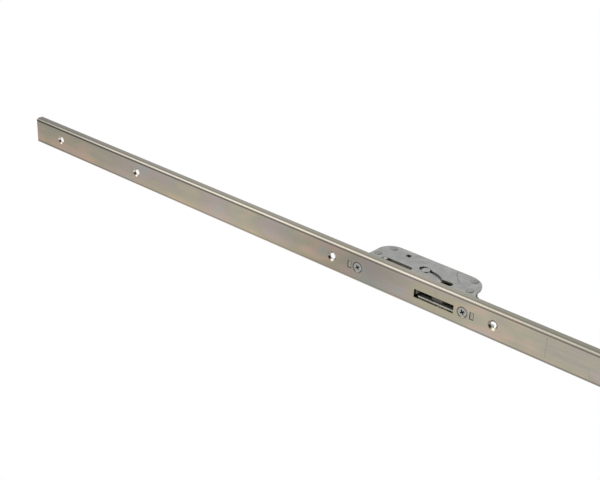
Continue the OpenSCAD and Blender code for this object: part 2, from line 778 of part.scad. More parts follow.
// A tab on the plate's front edge that passes through a rod, from its foot up
function tab_points(low) = [[plate_front, low, 0], [rod_y, low, 0], [rod_y, low + 6, 0], [plate_front, low + 6, 0]];

// The plate that links the rods: it carries the rack and the deadbolt's slanted slot
module drive_plate() {
    slot_low = [dead_pin_y, dead_z];
    slot_high = slot_low + [-travel, travel];
    neck = strip_back;
    clear_gear = gear_at.y + gear_r + gear_module + travel + 1;
    rear = [[plate_front, plate_tab_up + 9, 0], [neck, plate_tab_up + 9, 1], [neck, 50, 0], [-12, 46, 3],
        [-12, -14, 3], [3, -26, 3], [main_back - 2, -37, 3], [main_back - 2, dead_z - 7.5, 2],
        [1, dead_z - 7.5, 2], [1, clear_gear, 0], [neck, clear_gear, 0]];
    bottom = [[neck, plate_tab_down - 3, 1], [plate_front, plate_tab_down - 3, 0]];
    edge = concat(rear, rack_points(-6, travel + 7), bottom, tab_points(plate_tab_down), tab_points(plate_tab_up));
    color("gainsboro") plate(plate_in, plate_out) difference() {
        polygon(outline(edge, 4));
        slot(slot_low, slot_high, dead_slot_r);
    }
}

// One flank of a gear tooth: an involute from its base circle to its tip
function involute(base, r) = let(a = acos(base / r)) tan(a) * 180 / PI - a;

// The gear that the cylinder's cam turns: it meshes with the rack
module drive_gear() {
    tip = gear_r + gear_module;
    root = gear_r - 1.2 * gear_module;
    base = gear_r * cos(pressure);
    start = max(base, root);
    at_pitch = involute(base, gear_r);
    half = 90 / gear_teeth - backlash / 4 / gear_r * 180 / PI;
    flank = [for (i = [0:5]) let(r = start + (tip - start) * i / 5) [r, half + at_pitch - involute(base, r)]];
    tooth = concat([[root - 0.3, flank[0].y]], flank);
    mirrored = [for (i = [len(tooth) - 1:-1:0]) [tooth[i].x, -tooth[i].y]];
    color("darkkhaki") translate([0, gear_at.x, gear_at.y]) difference() {
        plate(-bolt_half, plate_out) {
            circle(root);
            for (i = [0:gear_teeth - 1]) rotate(180 + (i + 0.5) * 360 / gear_teeth)
                polygon([for (p = concat(tooth, mirrored)) p.x * [cos(-p.y), sin(-p.y)]]);
        }
        round_x([0, 0], gear_bore_r + run_gap, -main_t, main_t);
    }
}

module gear_stud() {
    color("silver") round_x(gear_at, gear_bore_r, -main_half, main_half);
}

faceplate();
case_screws();
rod_keepers();
upper_rod();
lower_rod();
drive_plate();
upper_case_tray();
upper_case_cover();
upper_case_rivets();
upper_hook_pivot();
upper_hook();
upper_guide_pin();
upper_slider();
upper_slider_pin();
lower_case_tray();
lower_case_cover();
lower_case_rivets();
lower_hook_pivot();
lower_hook();
lower_guide_pin();
lower_slider();
lower_slider_pin();
main_case_tray();
main_case_cover();
main_case_rivets();
follower();
latch_bolt();
latch_tail();
latch_spring();
deadbolt();
deadbolt_pin();
drive_gear();
gear_stud();
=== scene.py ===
import bpy
import bmesh
import math
import numpy as np
from mathutils import Matrix, Vector


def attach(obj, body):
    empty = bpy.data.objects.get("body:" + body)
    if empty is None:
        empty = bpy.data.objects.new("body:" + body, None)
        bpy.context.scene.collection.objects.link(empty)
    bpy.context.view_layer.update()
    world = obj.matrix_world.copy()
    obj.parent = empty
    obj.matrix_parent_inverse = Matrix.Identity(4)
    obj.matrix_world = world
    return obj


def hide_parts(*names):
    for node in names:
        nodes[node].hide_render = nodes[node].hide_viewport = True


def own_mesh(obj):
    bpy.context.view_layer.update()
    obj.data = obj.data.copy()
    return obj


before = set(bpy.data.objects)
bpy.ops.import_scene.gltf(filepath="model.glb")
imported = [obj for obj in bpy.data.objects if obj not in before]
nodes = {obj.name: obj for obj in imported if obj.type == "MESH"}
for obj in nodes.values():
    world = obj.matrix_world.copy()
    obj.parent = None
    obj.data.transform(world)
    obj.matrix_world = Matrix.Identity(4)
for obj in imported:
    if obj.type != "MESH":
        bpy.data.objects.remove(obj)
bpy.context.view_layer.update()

# In metres: the heights of the two hook pivots from the spindle, and the rail's outer face along Y
hookPivots = {"upper": 0.662, "lower": -0.738}
railFace = -0.035


# Small helpers for node trees

def put(tree, kind, feeds=None, **settings):
    # Adds one node, sets its options, and links or sets its inputs
    node = tree.nodes.new("ShaderNode" + kind)
    for key, value in settings.items():
        setattr(node, key, value)
    for key, value in (feeds or {}).items():
        if isinstance(value, bpy.types.NodeSocket):
            tree.links.new(value, node.inputs[key])
        else:
            node.inputs[key].default_value = value
    return node


def newMaterial(name):
    material = bpy.data.materials.new(name)
    material.use_nodes = True
    tree = material.node_tree
    tree.nodes.clear()
    shader = put(tree, "BsdfPrincipled")
    put(tree, "OutputMaterial", {"Surface": shader.outputs["BSDF"]})
    return material, tree, shader


def srgb(red, green, blue):
    # A colour as a picture shows it, 0 to 255, made linear by the standard curve
    part = np.array([red, green, blue]) / 255
    linear = np.where(part <= 0.04045, part / 12.92, ((part + 0.055) / 1.055) ** 2.4)
    return (*[float(v) for v in linear], 1.0)


def reckon(tree, operation, a, b=0.0, clamp=False):
    return put(tree, "Math", {0: a, 1: b}, operation=operation, use_clamp=clamp).outputs[0]


def times(tree, first, *others):
    for other in others:
        first = reckon(tree, "MULTIPLY", first, other)
    return first


def offBy(tree, value, aim):
    # How far a value is from another, above or below
    return reckon(tree, "ABSOLUTE", reckon(tree, "SUBTRACT", value, aim))


def spread(tree, value, low, high, toLow, toHigh, smooth=False):
    # The stretch from low to high laid over the one from toLow to toHigh, and held at its ends
    node = put(tree, "MapRange", {0: value, 1: low, 2: high, 3: toLow, 4: toHigh},
               interpolation_type="SMOOTHSTEP" if smooth else "LINEAR")
    return node.outputs[0]


def vectorMath(tree, operation, feeds):
    # The node's vector, or its number where the operation gives one
    node = put(tree, "VectorMath", feeds, operation=operation)
    return node.outputs["Value" if operation in ("LENGTH", "DOT_PRODUCT") else "Vector"]


def noiseAt(tree, point, perMetre, detail, rough, start):
    # Noise whose cells are about 1 / perMetre long on each axis
    moved = vectorMath(tree, "ADD", {0: point, 1: start})
    scaled = vectorMath(tree, "MULTIPLY", {0: moved, 1: perMetre})
    feeds = {"Vector": scaled, "Scale": 1.0, "Detail": detail, "Roughness": rough}
    return put(tree, "TexNoise", feeds).outputs[0]


def ramp(tree, value, stops):
    node = put(tree, "ValToRGB", {0: value})
    band = node.color_ramp
    band.elements[0].position, band.elements[0].color = stops[0]
    band.elements[1].position, band.elements[1].color = stops[-1]
    for position, colour in stops[1:-1]:
        band.elements.new(position).color = colour
    return node.outputs[0]


def blendColour(tree, factor, a, b, kind="MIX"):
    node = put(tree, "Mix", {0: factor, 6: a, 7: b}, data_type="RGBA", blend_type=kind)
    return node.outputs[2]


def tinted(tree, colour, tint):
    return blendColour(tree, 1.0, colour, tint, "MULTIPLY")


def awayFromLine(tree, point, a, b):
    # Distance from the straight line between a and b: the nearest point on it is a plus the
    # clamped share of (b - a), and the distance is the length of what is left. Where a and b
    # are one point, it is the distance from that point.
    a, b = np.array(a, float), np.array(b, float)
    run = b - a
    away = vectorMath(tree, "SUBTRACT", {0: point, 1: tuple(a)})
    if not run.any():
        return vectorMath(tree, "LENGTH", {0: away})
    share = vectorMath(tree, "DOT_PRODUCT", {0: away, 1: tuple(run / (run @ run))})
    share = reckon(tree, "MULTIPLY", share, 1.0, True)
    foot = vectorMath(tree, "SCALE", {0: tuple(run), "Scale": share})
    return vectorMath(tree, "LENGTH", {0: vectorMath(tree, "SUBTRACT", {0: away, 1: foot})})


def awayFromLines(tree, point, lines):
    # Distance from the nearest of several lines
    best, *others = [awayFromLine(tree, point, a, b) for a, b in lines]
    for distance in others:
        best = reckon(tree, "MINIMUM", best, distance)
    return best


def within(tree, axes, limits):
    # One where every given coordinate lies between its limits
    inside = 1.0
    for axis, (low, high) in limits.items():
        for sense, limit in (("GREATER_THAN", low), ("LESS_THAN", high)):
            inside = reckon(tree, "MULTIPLY", inside, reckon(tree, sense, axes[axis], limit))
    return inside


# Places as the looks give them: depth behind the rail's face, and height from a pivot

def unitPoint(x, place, pivot):
    depth, height = place
    return (x, railFace + depth, pivot + height)


def intoFace(heights, depth=0.0, x=0.0, up=0.0):
    # Lines from the face straight inwards, one at each height, or points where depth is zero
    return [((x, railFace, z + up), (x, railFace + depth, z + up)) for z in heights]


def shifted(values, by):
    return [by + value for value in values]


# Camera, room and lamps

# Fitted to the rail's long edges, its end and its holes. The rail runs across the picture,
# so the camera is turned on its side. It looks about 35 degrees upwards.
cameraLook = {
    "place": (0.4053, -0.6628, 0.2480),
    "right": (0.04448, 0.65876, -0.75103),
    "up": (0.89635, 0.30563, 0.32116),
    "back": (0.44110, -0.68748, -0.57689),
    "lens": 67.6, "sensor": 36.0,
    "nearest": 0.01, "farthest": 1200.0,
}


def photoCamera(look):
    data = bpy.data.cameras.new("photoCamera")
    data.lens, data.sensor_width = look["lens"], look["sensor"]
    data.clip_start, data.clip_end = look["nearest"], look["farthest"]
    holder = bpy.data.objects.new("photoCamera", data)
    turn = Matrix((look["right"], look["up"], look["back"])).transposed().normalized()
    holder.matrix_world = Matrix.Translation(look["place"]) @ turn.to_4x4()
    bpy.context.scene.collection.objects.link(holder)
    bpy.context.scene.camera = holder


roomLook = {
    "ambient": 0.62, "ambientColour": (1.0, 0.985, 0.96, 1.0),
    "white": 1.0, "whiteColour": (1.0, 1.0, 1.0, 1.0),
    "floorHeight": -1.0502, "floorHalf": 400.0,
    "floorColour": (0.80, 0.79, 0.775, 1.0), "floorRough": 0.8,
}

# Each lamp: place, what it faces, its width and height in metres, its power in watts and its colour
lampLook = {
    "topSoftbox": {
        "place": (1.02, -0.66, 1.5), "faces": (0.0, -0.03, 0.82), "size": (0.95, 1.4),
        "power": 8.0, "colour": (1.0, 0.98, 0.89)},
    "frontFill": {
        "place": (-0.9, -1.9, 0.3), "faces": (0.0, 0.0, 0.2), "size": (1.2, 1.2),
        "power": 7.0, "colour": (0.97, 0.98, 1.0)},
    "backFill": {
        "place": (-0.6, 2.1, 1.2), "faces": (0.0, 0.0, 0.0), "size": (1.6, 1.6),
        "power": 10.0, "colour": (1.0, 0.98, 0.96)},
}


def paleRoom(look):
    # White for what the camera, gloss and glass see, and a plain soft light for the rest
    world = bpy.data.worlds.new("paleRoom")
    bpy.context.scene.world = world
    world.use_nodes = True
    tree = world.node_tree
    tree.nodes.clear()
    ray = put(tree, "LightPath").outputs
    seen = reckon(tree, "ADD", ray["Is Camera Ray"], ray["Is Glossy Ray"])
    seen = reckon(tree, "ADD", seen, ray["Is Transmission Ray"], True)
    soft = put(tree, "Background", {"Color": look["ambientColour"], "Strength": look["ambient"]})
    white = put(tree, "Background", {"Color": look["whiteColour"], "Strength": look["white"]})
    mixed = put(tree, "MixShader", {0: seen, 1: soft.outputs[0], 2: white.outputs[0]})
    put(tree, "OutputWorld", {"Surface": mixed.outputs[0]})

    half, height = look["floorHalf"], look["floorHeight"]
    square = ((-half, -half), (half, -half), (half, half), (-half, half))
    mesh = bpy.data.meshes.new("paleFloor")
    mesh.from_pydata([(x, y, height) for x, y in square], [], [(0, 1, 2, 3)])
    floor = bpy.data.objects.new("paleFloor", mesh)
    bpy.context.scene.collection.objects.link(floor)
    material, tree, shader = newMaterial("paleFloorPaint")
    shader.inputs["Base Color"].default_value = look["floorColour"]
    shader.inputs["Roughness"].default_value = look["floorRough"]
    mesh.materials.append(material)


def softLamps(looks):
    for name, look in looks.items():
        data = bpy.data.lights.new(name, "AREA")
        data.shape = "RECTANGLE"
        data.size, data.size_y = look["size"]
        data.energy = look["power"]
        data.color = look["colour"]
        lamp = bpy.data.objects.new(name, data)
        lamp.location = look["place"]
        aim = np.array(look["faces"]) - np.array(look["place"])
        lamp.rotation_euler = Vector(aim.tolist()).to_track_quat("-Z", "Y").to_euler()
        lamp.visible_camera = False
        bpy.context.scene.collection.objects.link(lamp)


# Finishes

# The noises that every finish is made of: the detail, roughness and start of each,
# and the two values that most of a noise lies between
grainLook = {
    "clouds": (2.5, 0.55, (0.0, 0.0, 0.0)),
    "streaks": (4.0, 0.6, (0.31, 0.17, 0.53)),
    "specks": (3.0, 0.6, (0.11, 0.43, 0.29)),
    "low": 0.3, "high": 0.7,
}


def aroundMiddle(tree, noise, middle, reach):
    # The noise laid over a value and as far above it as below
    return spread(tree, noise, grainLook["low"], grainLook["high"], middle - reach, middle + reach)


def metalFinish(name, look):
    # Colour: soft clouds pick between the tones, and long streaks and fine specks lighten or
    # darken them. Surface: the mean of streaks and specks moves the roughness, and stands a few
    # hundredths of a millimetre high.
    material, tree, shader = newMaterial(name)
    point = put(tree, "TexCoord").outputs["Object"]
    clouds, streaks, specks = [noiseAt(tree, point, look[kind], *grainLook[kind])
                               for kind in ("clouds", "streaks", "specks")]
    shade = times(tree, aroundMiddle(tree, streaks, 1.0, look["streakShade"]),
                  aroundMiddle(tree, specks, 1.0, look["speckShade"]))
    tone = vectorMath(tree, "SCALE", {0: ramp(tree, clouds, look["tones"]), "Scale": shade})
    mean = reckon(tree, "ADD", times(tree, streaks, 0.5), times(tree, specks, 0.5))
    rough = aroundMiddle(tree, mean, look["rough"], look["roughSpread"])
    feeds = {"Strength": look["bump"], "Distance": look["bumpHeight"], "Height": mean}
    bump = put(tree, "Bump", feeds)
    shader.inputs["Metallic"].default_value = look.get("metallic", 1.0)
    tree.links.new(tone, shader.inputs["Base Color"])
    tree.links.new(rough, shader.inputs["Roughness"])
    tree.links.new(bump.outputs[0], shader.inputs["Normal"])
    return material, {"tree": tree, "shader": shader, "point": point, "tone": tone,
                      "rough": rough, "bump": bump}


def pointAxes(parts):
    return list(put(parts["tree"], "SeparateXYZ", {0: parts["point"]}).outputs)


def paint(parts, factor, colour):
    # Lays a colour over the tone that the finish has so far
    parts["tone"] = blendColour(parts["tree"], factor, parts["tone"], colour)
    parts["tree"].links.new(parts["tone"], parts["shader"].inputs["Base Color"])


def matten(parts, inside, share):
    # Takes a share of the metal away where inside is one
    tree = parts["tree"]
    tree.links.new(reckon(tree, "SUBTRACT", 1.0, times(tree, inside, share)),
                   parts["shader"].inputs["Metallic"])


# The share of a line's width inside which it is fully dark, and its bump's strength
lineLook = {"core": 0.4, "bump": 0.6}


def markLines(parts, distance, width, darkness, depth, share=1.0):
    # A line: darker and slightly sunk where the distance is under its width, lighter where darkness
    # is below zero. It draws scribed marks and scratches, and also painted shadows, reflections and
    # highlights
    tree = parts["tree"]
    mark = times(tree, spread(tree, distance, width, width * lineLook["core"], 0.0, 1.0, True), share)
    paint(parts, mark, vectorMath(tree, "SCALE", {0: parts["tone"], "Scale": 1.0 - darkness}))
    feeds = {"Strength": lineLook["bump"], "Distance": depth, "Height": mark,
             "Normal": parts["bump"].outputs[0]}
    parts["bump"] = put(tree, "Bump", feeds, invert=True)
    tree.links.new(parts["bump"].outputs[0], parts["shader"].inputs["Normal"])


railLook = {
    # zinc plate with a thin passivated film: soft bluish, pinkish and straw patches
    "clouds": (40.0, 40.0, 17.0),
    "tones": [(0.28, srgb(156, 163, 159)), (0.40, srgb(168, 157, 151)), (0.48, srgb(161, 156, 144)),
              (0.56, srgb(166, 161, 143)), (0.64, srgb(182, 164, 149)), (0.74, srgb(164, 165, 158))],
    "streaks": (900.0, 900.0, 9.0),
    "specks": (1400.0, 1400.0, 700.0),
    "streakShade": 0.035, "speckShade": 0.02,
    "rough": 0.24, "roughSpread": 0.05, "bump": 0.12, "bumpHeight": 0.00004,
    # painted reflections: dark lines along each bend, at bendX on the face and faint at bendY on the
    # flange
    "bendX": 0.0103, "bendY": -0.0328, "flangeX": 0.0121, "faceDepth": 0.0003,
    "bendWidth": 0.00056, "bendReflectionDark": 0.80, "edgeReflectionDark": 0.30, "bendDepth": 0.00002,
    # from and to a height or x, with the values there: the face line's strength by height, what its
    # distance is multiplied by, so less is wider, and its strength on either side of the middle
    "bendShare": (0.55, 1.10, 0.66, 1.0),
    "bendWiden": (0.60, 1.10, 1.0, 0.55),
    "sideShare": (-0.001, 0.001, 0.55, 1.0),
    # scribed marks across the face: from x, to x, height, width, darkness
    "scribes": [(0.0050, 0.0094, 0.6413, 0.00020, 0.35), (-0.0094, -0.0052, 0.6413, 0.00020, 0.30),
                (0.0090, -0.0072, 0.5472, 0.00024, 0.40), (0.0010, -0.0080, 0.5131, 0.00022, 0.30)],
    "scribeDepth": 0.00002,
    # a dark ring round each case screw: painted shadow in the gap round its head
    "screwHeights": [0.7151, 0.6171, -0.6849, -0.7829, 0.058, -0.125],
    "screwRing": 0.0044, "screwRingWidth": 0.00034, "screwRingShadow": 0.7, "screwRingDepth": 0.00003,
    # the hook openings, from each pivot, and the straw tint round them
    "openingTop": -0.006, "openingBottom": -0.033,
    "strawColour": srgb(170, 162, 136), "strawReach": 0.014, "strawCore": 0.003, "strawShare": 0.6,
    # how light the rail is at heights along it: the photo shows it from 0.50 up,
    # and below 0.34 it is even
    "drift": [(0.34, 0.92), (0.50, 0.97), (0.61, 1.04), (0.66, 0.97), (0.70, 0.72), (0.75, 0.74),
              (0.79, 0.90), (0.85, 1.01), (0.93, 0.92), (1.00, 0.84), (1.06, 0.74), (1.12, 0.71)],
    # the bends are one even cream, without the patches of the face, made lighter and darker along the
    # rail as a painted highlight
    "bendColour": srgb(165, 160, 151), "bendFrom": 0.0098, "bendTo": 0.0106, "bendEven": 0.8,
    "bendHighlightDrift": [(0.34, 0.92), (0.50, 0.63), (0.59, 0.67), (0.64, 0.92), (0.70, 1.22), (0.74, 1.18),
                  (0.79, 1.02), (0.85, 0.90), (0.93, 0.92), (1.00, 0.95), (1.12, 0.81)],
    # the flanges are a little more olive, and darker towards the shown end
    "flangeTint": (0.96, 0.97, 0.93, 1.0), "flangeDark": (0.70, 0.695, 0.68, 1.0),
    "flangeFrom": 0.60, "flangeTo": 1.10,
    # the side away from the covers is a little lighter and warmer towards the shown end:
    # from not at all, to wholly, across the face and along it
    "warm": (1.20, 1.12, 1.03), "warmX": (0.004, -0.0105), "warmHeights": (0.62, 0.74),
    # what lies deeper behind the face than this counts as a wall: from not at all, to wholly
    "wallDepths": (0.0002, 0.0004),
    # the fixing holes' countersinks are painted bright, a painted highlight, with a dark spot to one
    # side, a painted reflection. Both reaches are measured from a line of the length sinkAxis that
    # runs straight in from the face
    "fixHeights": [1.083, 0.9737, 0.7412, 0.5908, 0.35, 0.115,
                   -0.182, -0.42, -0.6588, -0.8092, -0.9037, -1.013],
    "sinkReach": 0.00435, "sinkDepth": 0.0013, "sinkAxis": 0.002, "sinkHighlightColour": srgb(184, 178, 166),
    "spotX": -0.0021, "spotUp": 0.0031, "spotReach": 0.0021, "spotCore": 0.00105,
    "spotReflectionColour": srgb(48, 44, 33),
    # the slots for the cases' lugs, from each pivot
    "lugHeights": (0.061, -0.0532), "lugHalf": 0.0016, "lugReach": 0.0024,
    # punched walls of slots and hook openings: dark, a painted shade, and in the openings a few light
    # stripes, a painted reflection, from and to below the pivot, which fade in over a given share of
    # each step
    "wallReach": 0.0060, "wallShadeColour": srgb(30, 26, 18), "wallMatt": 0.95, "wallRough": 0.5,
    "stripeFrom": 0.0215, "stripeTo": 0.0315, "stripeStep": 0.0024,
    "stripeEdge": (0.45, 0.6), "stripeShare": 0.8, "stripeGlintColour": srgb(150, 142, 126),
}


def railFinish(look):
    material, parts = metalFinish("zincPassivatedRail", look)
    tree, point = parts["tree"], parts["point"]
    axes = pointAxes(parts)
    x, y, z = axes
    across = reckon(tree, "ABSOLUTE", x)
    near = awayFromLines(tree, point, [((0.0, railFace, pivot + look["openingTop"]),
                                        (0.0, railFace, pivot + look["openingBottom"]))
                                       for pivot in hookPivots.values()])
    straw = spread(tree, near, look["strawReach"], look["strawCore"], 0.0, look["strawShare"], True)
    paint(parts, straw, look["strawColour"])
    # painted highlight: the bends' even cream, lighter and darker with height along the rail
    even = spread(tree, across, look["bendFrom"], look["bendTo"], 0.0, look["bendEven"], True)
    paint(parts, even, tinted(tree, look["bendColour"], alongRail(tree, z, look["bendHighlightDrift"])))
    driftedTone(parts, axes, look)
    # each painted reflection line keeps to its own side of the bend
    onFace = reckon(tree, "LESS_THAN", y, railFace + look["faceDepth"])
    onFlange = reckon(tree, "GREATER_THAN", across, look["flangeX"])
    faceSide = onlyWhere(tree, onFace, offBy(tree, across, look["bendX"]))
    edgeSide = onlyWhere(tree, onFlange, offBy(tree, y, look["bendY"]))
    share = times(tree, spread(tree, z, *look["bendShare"]), spread(tree, x, *look["sideShare"]))
    faceSide = times(tree, faceSide, spread(tree, z, *look["bendWiden"]))
    markLines(parts, faceSide, look["bendWidth"], look["bendReflectionDark"], look["bendDepth"], share)
    markLines(parts, edgeSide, look["bendWidth"], look["edgeReflectionDark"], look["bendDepth"])
    # painted shadow: a dark ring round each case screw's head
    ring = offBy(tree, awayFromLines(tree, point, intoFace(look["screwHeights"])), look["screwRing"])
    markLines(parts, ring, look["screwRingWidth"], look["screwRingShadow"], look["screwRingDepth"])
    for a, b, height, width, darkness in look["scribes"]:
        line = awayFromLine(tree, point, (a, railFace, height), (b, railFace, height))
        markLines(parts, line, width, darkness, look["scribeDepth"])
    punchedWalls(parts, axes, near, look)
    return material


def onlyWhere(tree, on, distance):
    # Where on is zero, a metre is added to the distance
    return reckon(tree, "ADD", distance, reckon(tree, "SUBTRACT", 1.0, on))


def alongRail(tree, z, stops):
    # A grey whose lightness runs through the given heights and values
    low, high = stops[0][0], stops[-1][0]
    height = spread(tree, z, low, high, 0.0, 1.0)
    return ramp(tree, height, [((at - low) / (high - low), (v, v, v, 1.0)) for at, v in stops])


def driftedTone(parts, axes, look):
    # The tone times a lightness that drifts with height, then tinted on the flanges and
    # warmed across the face
    tree = parts["tree"]
    x, z = axes[0], axes[2]
    parts["tone"] = tinted(tree, parts["tone"], alongRail(tree, z, look["drift"]))
    onFlange = reckon(tree, "GREATER_THAN", reckon(tree, "ABSOLUTE", x), look["flangeX"])
    dull = blendColour(tree, spread(tree, z, look["flangeFrom"], look["flangeTo"], 0.0, 1.0),
                       look["flangeTint"], look["flangeDark"])
    paint(parts, onFlange, tinted(tree, parts["tone"], dull))
    share = times(tree, spread(tree, x, *look["warmX"], 0.0, 1.0, True),
                  spread(tree, z, *look["warmHeights"], 0.0, 1.0, True))
    paint(parts, share, vectorMath(tree, "MULTIPLY", {0: parts["tone"], 1: look["warm"]}))


def punchedWalls(parts, axes, near, look):
    # Inside is what lies close to an opening and deeper than the face
    tree, point = parts["tree"], parts["point"]
    y, z = axes[1:]
    deep = spread(tree, y, *shifted(look["wallDepths"], railFace), 0.0, 1.0)
    sinks = awayFromLines(tree, point, intoFace(look["fixHeights"], look["sinkAxis"]))
    sink = times(tree, deep, reckon(tree, "LESS_THAN", sinks, look["sinkReach"]),
                 reckon(tree, "LESS_THAN", y, railFace + look["sinkDepth"]))
    # painted highlight on each countersink
    paint(parts, sink, look["sinkHighlightColour"])
    # painted reflection: a dark spot to one side of each countersink
    spots = awayFromLines(tree, point, intoFace(look["fixHeights"], look["sinkAxis"],
                                                look["spotX"], look["spotUp"]))
    spot = spread(tree, spots, look["spotReach"], look["spotCore"], 0.0, 1.0, True)
    paint(parts, times(tree, sink, spot), look["spotReflectionColour"])

    heights = [pivot + height for pivot in hookPivots.values() for height in look["lugHeights"]]
    lugs = awayFromLines(tree, point, [((-look["lugHalf"], railFace, height),
                                        (look["lugHalf"], railFace, height)) for height in heights])
    hidden = reckon(tree, "MAXIMUM", reckon(tree, "LESS_THAN", near, look["wallReach"]),
                    reckon(tree, "LESS_THAN", lugs, look["lugReach"]))
    inside = times(tree, deep, hidden)
    # the painted reflection stripes repeat with height, over a short stretch below each pivot
    marks = []
    for pivot in hookPivots.values():
        down = reckon(tree, "SUBTRACT", pivot, z)
        on = times(tree, reckon(tree, "GREATER_THAN", down, look["stripeFrom"]),
                   reckon(tree, "LESS_THAN", down, look["stripeTo"]))
        wave = reckon(tree, "FRACT", reckon(tree, "DIVIDE", down, look["stripeStep"]))
        light = spread(tree, wave, *look["stripeEdge"], 0.0, look["stripeShare"])
        marks.append(times(tree, on, light))
    mark = reckon(tree, "MAXIMUM", *marks)
    # painted shade on the punched walls, with light stripes of painted reflection
    paint(parts, inside, blendColour(tree, mark, look["wallShadeColour"], look["stripeGlintColour"]))
    matten(parts, inside, look["wallMatt"])
    rough = reckon(tree, "ADD", parts["rough"], times(tree, inside, look["wallRough"]), True)
    tree.links.new(rough, parts["shader"].inputs["Roughness"])


# In the next three, places are depth behind the face and height from the pivot, in metres

coverLook = {
    # galvanised case sheet: matt, cool grey, with soft spangle
    "clouds": (160.0, 160.0, 160.0),
    "tones": [(0.30, srgb(150, 152, 150)), (0.50, srgb(160, 161, 158)), (0.70, srgb(170, 171, 168))],
    "streaks": (420.0, 420.0, 420.0),
    "specks": (1700.0, 1700.0, 1700.0),
    "streakShade": 0.035, "speckShade": 0.05,
    "rough": 0.46, "roughSpread": 0.07, "bump": 0.25, "bumpHeight": 0.00006,
    "outside": 0.0075,  # the outer surface along X
    # engraved lines, and one light scratch
    "lines": [((0.0239, 0.0251), (0.0342, 0.0146)), ((0.0381, -0.0152), (0.0346, -0.0159)),
              ((0.0346, -0.0159), (0.0244, -0.0249)), ((0.0244, -0.0249), (0.0240, -0.0312))],
    "lineWidth": 0.00038, "lineDark": 0.52, "lineDepth": 0.00004,
    "scratch": ((0.0154, 0.0444), (0.0239, 0.0454)),
    "scratchWidth": 0.0004, "scratchDark": -0.16, "scratchDepth": 0.00002,
    # a ring round each rivet's head
    "ringRadius": 0.0031, "ringWidth": 0.0004, "ringDark": 0.35, "ringDepth": 0.00004,
    # painted shade on the walls of the slots: everything further in than the skin inside this stretch
    "skin": 0.00006, "slotDepths": (0.008, 0.037), "slotHeights": (-0.028, 0.046),
    "wallShadeColour": srgb(102, 102, 94), "wallMatt": 0.7,
}


def coverFinish(name, look, pivot):
    material, parts = metalFinish(name, look)
    tree, point = parts["tree"], parts["point"]
    lines = [[unitPoint(look["outside"], place, pivot) for place in line] for line in look["lines"]]
    line = awayFromLines(tree, point, lines)
    markLines(parts, line, look["lineWidth"], look["lineDark"], look["lineDepth"])
    ends = [unitPoint(look["outside"], place, pivot) for place in look["scratch"]]
    scratch = awayFromLine(tree, point, *ends)
    markLines(parts, scratch, look["scratchWidth"], look["scratchDark"], look["scratchDepth"])
    heads = [[unitPoint(look["outside"], place, pivot)] * 2 for place in rivetLook["unitPlaces"]]
    ring = offBy(tree, awayFromLines(tree, point, heads), look["ringRadius"])
    markLines(parts, ring, look["ringWidth"], look["ringDark"], look["ringDepth"])
    inside = within(tree, pointAxes(parts), {0: (0.0, look["outside"] - look["skin"]),
                                             1: shifted(look["slotDepths"], railFace),
                                             2: shifted(look["slotHeights"], pivot)})
    # painted shade on the slots' walls, which are also made less metallic
    paint(parts, inside, look["wallShadeColour"])
    matten(parts, inside, look["wallMatt"])
    return material


trayLook = {
    # the inside of a hook case: a darker grey as painted shade, and less metallic
    "roomHalf": 0.00605, "roomDepths": (0.0021, 0.0385),
    "roomShadeColour": srgb(112, 116, 104), "roomMatt": 0.75,
    # its folded tongue's edge is painted bright: a painted highlight
    "tongueX": (-0.0046, -0.0026), "tongueDepths": (0.0019, 0.0022),
    "tongueHeights": (-0.0435, -0.004), "tongueHighlightColour": srgb(232, 231, 222),
    # its lugs are plated like the rail
    "lugHalf": 0.002, "lugDepths": (-0.001, 0.0012), "lugColour": srgb(158, 151, 138),
}


def trayFinish(name, look, pivot):
    material, parts = metalFinish(name, coverLook)
    tree, axes = parts["tree"], pointAxes(parts)
    room = within(tree, axes, {0: (-look["roomHalf"], look["roomHalf"]),
                               1: shifted(look["roomDepths"], railFace)})
    tongue = within(tree, axes, {0: look["tongueX"],
                                 1: shifted(look["tongueDepths"], railFace),
                                 2: shifted(look["tongueHeights"], pivot)})
    # painted shade inside the case
    paint(parts, room, look["roomShadeColour"])
    # painted highlight on the tongue's edge
    paint(parts, tongue, look["tongueHighlightColour"])
    for height in shifted(railLook["lugHeights"], pivot):
        lug = within(tree, axes, {1: shifted(look["lugDepths"], railFace),
                                  2: (height - look["lugHalf"], height + look["lugHalf"])})
        paint(parts, lug, look["lugColour"])
    matten(parts, room, look["roomMatt"])
    return material


# Each pin's axis, and the ring painted round it: dark on the drive pins, and light on the guide pins,
# a painted highlight on the head's rim
pinLooks = {
    "DrivePin": {
        "place": (0.0162, 0.0388), "reach": 0.009,
        "ringRadius": 0.0019, "ringWidth": 0.0008, "ringDark": 0.75, "ringDepth": 0.00003,
        "tones": [(0.3, srgb(176, 176, 174)), (0.7, srgb(196, 195, 192))]},
    "GuidePin": {
        "place": (0.0228, 0.00436), "reach": 0.009,
        "ringRadius": 0.0028, "ringWidth": 0.0005, "ringDark": -0.5, "ringDepth": 0.00003,
        "tones": [(0.3, srgb(148, 149, 145)), (0.7, srgb(162, 163, 158))]},
}


def pinFinish(name, look, pivot):
    # The ring is followed along the whole pin
    material, parts = metalFinish(name, dict(plainLooks["groundPin"], tones=look["tones"]))
    tree, point = parts["tree"], parts["point"]
    axis = [unitPoint(x, look["place"], pivot) for x in (-look["reach"], look["reach"])]
    # the ring: on the guide pins a painted highlight on the rim
    ring = offBy(tree, awayFromLine(tree, point, *axis), look["ringRadius"])
    markLines(parts, ring, look["ringWidth"], look["ringDark"], look["ringDepth"])
    return material


